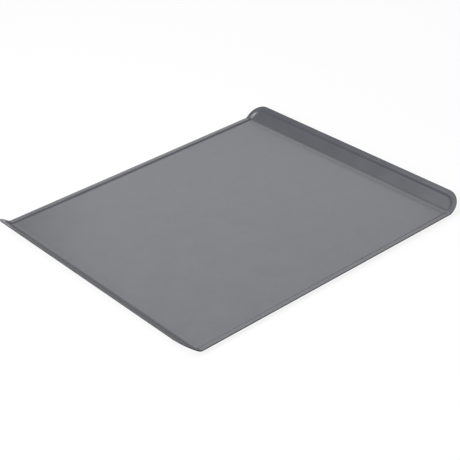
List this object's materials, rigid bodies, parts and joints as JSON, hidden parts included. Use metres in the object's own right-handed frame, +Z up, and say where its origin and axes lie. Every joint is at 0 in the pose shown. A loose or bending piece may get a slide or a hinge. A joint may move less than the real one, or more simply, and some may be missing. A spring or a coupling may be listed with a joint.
{
  "type": "cookie sheet",
  "caption": "Double-walled insulated cookie sheet with a flat non-stick baking surface, a low hemmed rim and upturned flanges at the front and back.",
  "frame": {"origin": "centre of the underside of the lower sheet's pan, on the surface that the cookie sheet stands on", "axes": "+X along the flange folds, to the right seen from the front; +Y from the front flange to the back flange; +Z up, out of the baking surface"},
  "size_m": [0.3556, 0.4064, 0.0217],
  "materials": {
    "baking_coating": "satin grey non-stick coating with a fine speckle, on steel sheet, slightly worn at the folded edge",
    "outer_coating": "satin grey non-stick coating on steel sheet, seen from below and at the sides"
  },
  "bodies": {
    "root": {"upper_sheet": "baking_coating", "lower_sheet": "outer_coating"}
  },
  "joints": []
}
